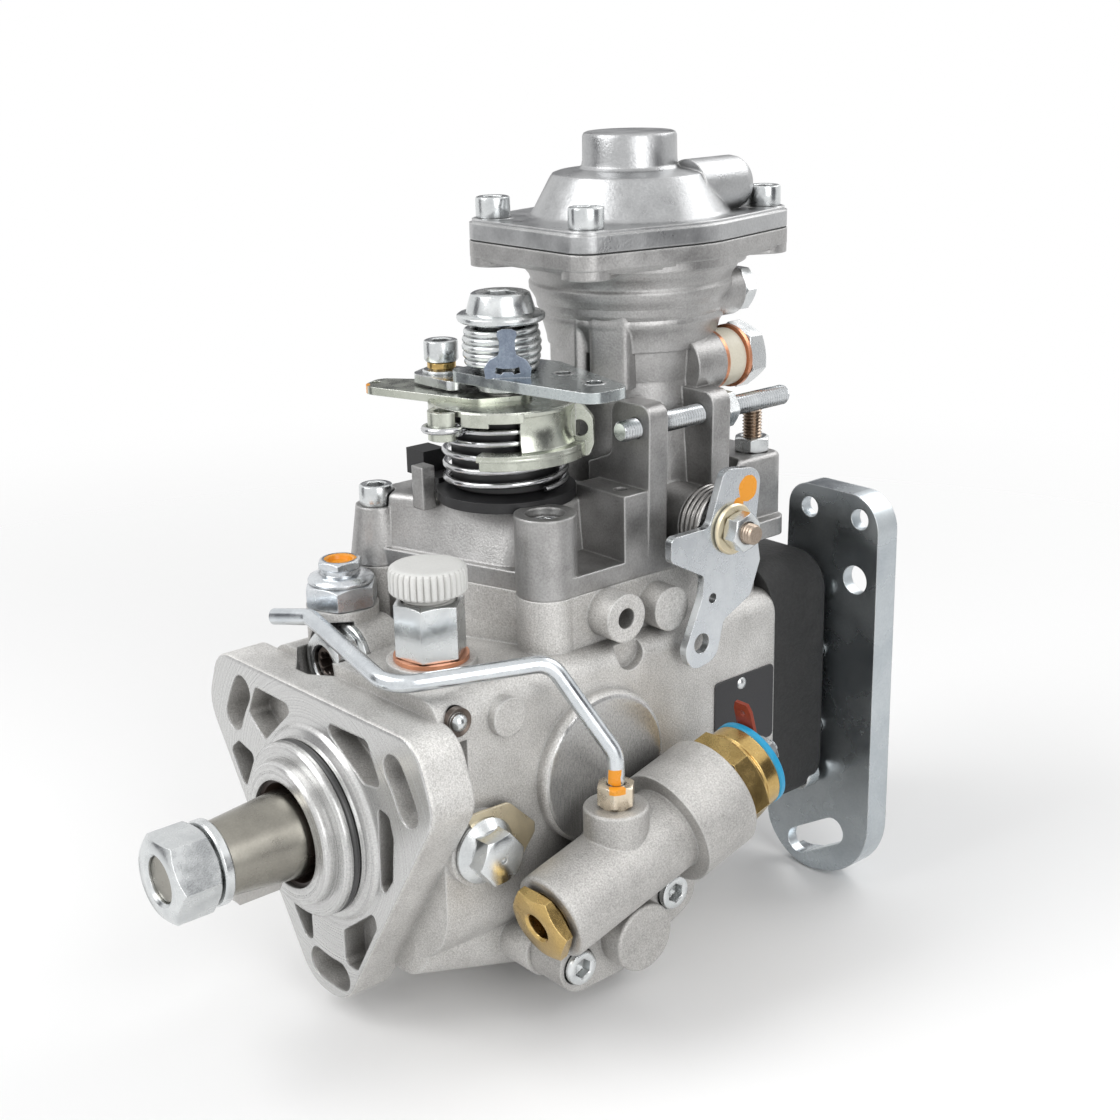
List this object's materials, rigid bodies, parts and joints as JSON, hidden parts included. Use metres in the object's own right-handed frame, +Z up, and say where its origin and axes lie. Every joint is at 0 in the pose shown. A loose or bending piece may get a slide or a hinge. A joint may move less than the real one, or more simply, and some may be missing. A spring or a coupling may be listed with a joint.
{
  "type": "diesel injection pump",
  "caption": "Rotary distributor diesel injection pump: triangular flange, tapered drive shaft, throttle and stop levers, boost diaphragm unit, cold-start valve and rear bracket.",
  "frame": {"origin": "on the drive axis, in the plane of the flange's mounting face", "axes": "the shaft points along -Y, +X is the side with the cold-start valve and stop lever, +Z is up towards the boost unit"},
  "size_m": [0.136, 0.25, 0.2421],
  "materials": {
    "adjusting_screws": "zinc plated",
    "boost_cover": "cast, matt",
    "boost_diaphragm": "matt",
    "boost_pin": "machined",
    "boost_spring": "machined",
    "cam_plate": "machined",
    "cam_rollers": "machined",
    "closing_plugs": "zinc plated",
    "cold_start_housing": "cast, matt",
    "cold_start_plug": "turned",
    "control_collar": "machined",
    "copper_washers": "copper",
    "cross_disc": "machined",
    "delivery_valves": "zinc plated",
    "distributor_head": "phosphated",
    "distributor_plunger": "machined",
    "drive_gear": "machined",
    "drive_shaft": "machined",
    "feed_pump_liner": "machined",
    "feed_pump_plate": "machined",
    "feed_pump_rotor": "machined",
    "feed_pump_vanes": "machined",
    "flyweights": "machined",
    "fuel_pipe": "zinc plated",
    "governor_cover": "cast, matt",
    "governor_gear_cage": "machined",
    "governor_lever": "machined",
    "governor_shafts": "machined",
    "governor_sleeve": "machined",
    "governor_spring": "machined",
    "inlet_cap": "moulded",
    "inlet_fitting": "zinc plated",
    "overflow_fitting": "zinc plated",
    "pilot_o_ring": "matt",
    "plunger_springs": "machined",
    "pump_housing": "cast, matt",
    "rear_bracket": "zinc plated",
    "regulating_valve": "zinc plated",
    "roller_ring": "machined",
    "shaft_bush": "machined",
    "shaft_key": "machined",
    "shaft_nut": "zinc plated",
    "shaft_seal": "matt",
    "socket_screws": "zinc plated",
    "solenoid": "turned",
    "spring_bridge": "machined",
    "stop_lever": "zinc plated",
    "stop_lever_spring": "machined",
    "stop_shaft": "zinc plated",
    "throttle_lever": "zinc plated",
    "throttle_return_spring": "zinc plated",
    "throttle_shaft": "zinc plated",
    "throttle_spring_seat": "moulded",
    "throttle_stop_bracket": "zinc plated",
    "throttle_top_nut": "zinc plated",
    "throttle_upper_spring": "machined",
    "timing_cover": "cast, matt",
    "timing_piston": "machined",
    "timing_spring": "machined",
    "vent_valve": "zinc plated"
  },
  "bodies": {
    "pump": {"pump_housing": "pump_housing", "distributor_head": "distributor_head", "governor_cover": "governor_cover", "shaft_seal": "shaft_seal", "shaft_bush": "shaft_bush", "pilot_o_ring": "pilot_o_ring", "feed_pump_liner": "feed_pump_liner", "feed_pump_plate": "feed_pump_plate", "governor_shafts": "governor_shafts", "plunger_springs": "plunger_springs", "spring_bridge": "spring_bridge", "timing_spring": "timing_spring", "timing_cover": "timing_cover", "delivery_valves": "delivery_valves", "rear_bracket": "rear_bracket", "boost_cover": "boost_cover", "boost_diaphragm": "boost_diaphragm", "boost_spring": "boost_spring", "throttle_spring_seat": "throttle_spring_seat", "throttle_return_spring": "throttle_return_spring", "governor_spring": "governor_spring", "adjusting_screws": "adjusting_screws", "stop_lever_spring": "stop_lever_spring", "cold_start_housing": "cold_start_housing", "cold_start_plug": "cold_start_plug", "solenoid": "solenoid", "fuel_pipe": "fuel_pipe", "inlet_fitting": "inlet_fitting", "inlet_cap": "inlet_cap", "vent_valve": "vent_valve", "regulating_valve": "regulating_valve", "overflow_fitting": "overflow_fitting", "copper_washers": "copper_washers", "closing_plugs": "closing_plugs", "socket_screws": "socket_screws"},
    "drive": {"drive_shaft": "drive_shaft", "shaft_key": "shaft_key", "shaft_nut": "shaft_nut", "feed_pump_rotor": "feed_pump_rotor", "feed_pump_vanes": "feed_pump_vanes", "drive_gear": "drive_gear", "cross_disc": "cross_disc", "cam_plate": "cam_plate", "distributor_plunger": "distributor_plunger"},
    "governor_cage": {"governor_gear_cage": "governor_gear_cage", "flyweights": "flyweights"},
    "sleeve": {"governor_sleeve": "governor_sleeve"},
    "lever": {"governor_lever": "governor_lever"},
    "collar": {"control_collar": "control_collar"},
    "throttle": {"throttle_shaft": "throttle_shaft", "throttle_stop_bracket": "throttle_stop_bracket", "throttle_lever": "throttle_lever", "throttle_upper_spring": "throttle_upper_spring", "throttle_top_nut": "throttle_top_nut"},
    "stop": {"stop_shaft": "stop_shaft", "stop_lever": "stop_lever"},
    "boost": {"boost_pin": "boost_pin"},
    "timing": {"timing_piston": "timing_piston"},
    "ring": {"roller_ring": "roller_ring", "cam_rollers": "cam_rollers"}
  },
  "joints": [
    {"name": "drive_spin", "type": "hinge", "parent": "pump", "child": "drive", "pos_m": [0, 0, 0], "axis": [0, 1, 0], "continuous": true},
    {"name": "governor_spin", "type": "hinge", "parent": "pump", "child": "governor_cage", "pos_m": [-0.01, 0.06, 0.04976], "axis": [0, 1, 0], "continuous": true},
    {"name": "sleeve_slide", "type": "slide", "parent": "pump", "child": "sleeve", "axis": [0, 1, 0], "range_m": [0, 0.004], "stiffness_N_per_m": 1500, "springref_m": -0.004},
    {"name": "governor_lever_turn", "type": "hinge", "parent": "pump", "child": "lever", "pos_m": [0, 0.1043, 0.028], "axis": [-1, 0, 0], "range_deg": [0, 10.6], "deforming": ["governor_spring"]},
    {"name": "collar_slide", "type": "slide", "parent": "pump", "child": "collar", "axis": [0, 1, 0], "range_m": [-0.0034, 0]},
    {"name": "throttle_turn", "type": "hinge", "parent": "pump", "child": "throttle", "pos_m": [0, 0.07, 0.1], "axis": [0, 0, 1], "range_deg": [-50, 0], "stiffness_Nm_per_rad": 0.3, "springref_deg": 28.65, "deforming": ["throttle_return_spring"]},
    {"name": "stop_turn", "type": "hinge", "parent": "pump", "child": "stop", "pos_m": [0.045, 0.114, 0.071], "axis": [1, 0, 0], "range_deg": [0, 35], "stiffness_Nm_per_rad": 0.2, "springref_deg": -22.92, "deforming": ["stop_lever_spring"]},
    {"name": "boost_slide", "type": "slide", "parent": "pump", "child": "boost", "axis": [0, 0, 1], "range_m": [-0.007, 0], "stiffness_N_per_m": 2500, "springref_m": 0.003, "deforming": ["boost_spring", "boost_diaphragm"]},
    {"name": "timing_slide", "type": "slide", "parent": "pump", "child": "timing", "axis": [1, 0, 0], "range_m": [-0.008, 0], "stiffness_N_per_m": 6000, "springref_m": 0.003, "deforming": ["timing_spring"]},
    {"name": "ring_turn", "type": "hinge", "parent": "pump", "child": "ring", "pos_m": [0, 0.076, 0], "axis": [0, 1, 0], "range_deg": [0, 10.7]}
  ],
  "couplings": [
    {"joint": "governor_spin", "follows": "drive_spin", "ratio": -1.6364},
    {"joint": "governor_lever_turn", "follows": "sleeve_slide", "rad_per_m": 45.947},
    {"joint": "collar_slide", "follows": "sleeve_slide", "ratio": -0.825},
    {"joint": "ring_turn", "follows": "timing_slide", "rad_per_m": -23.256}
  ]
}
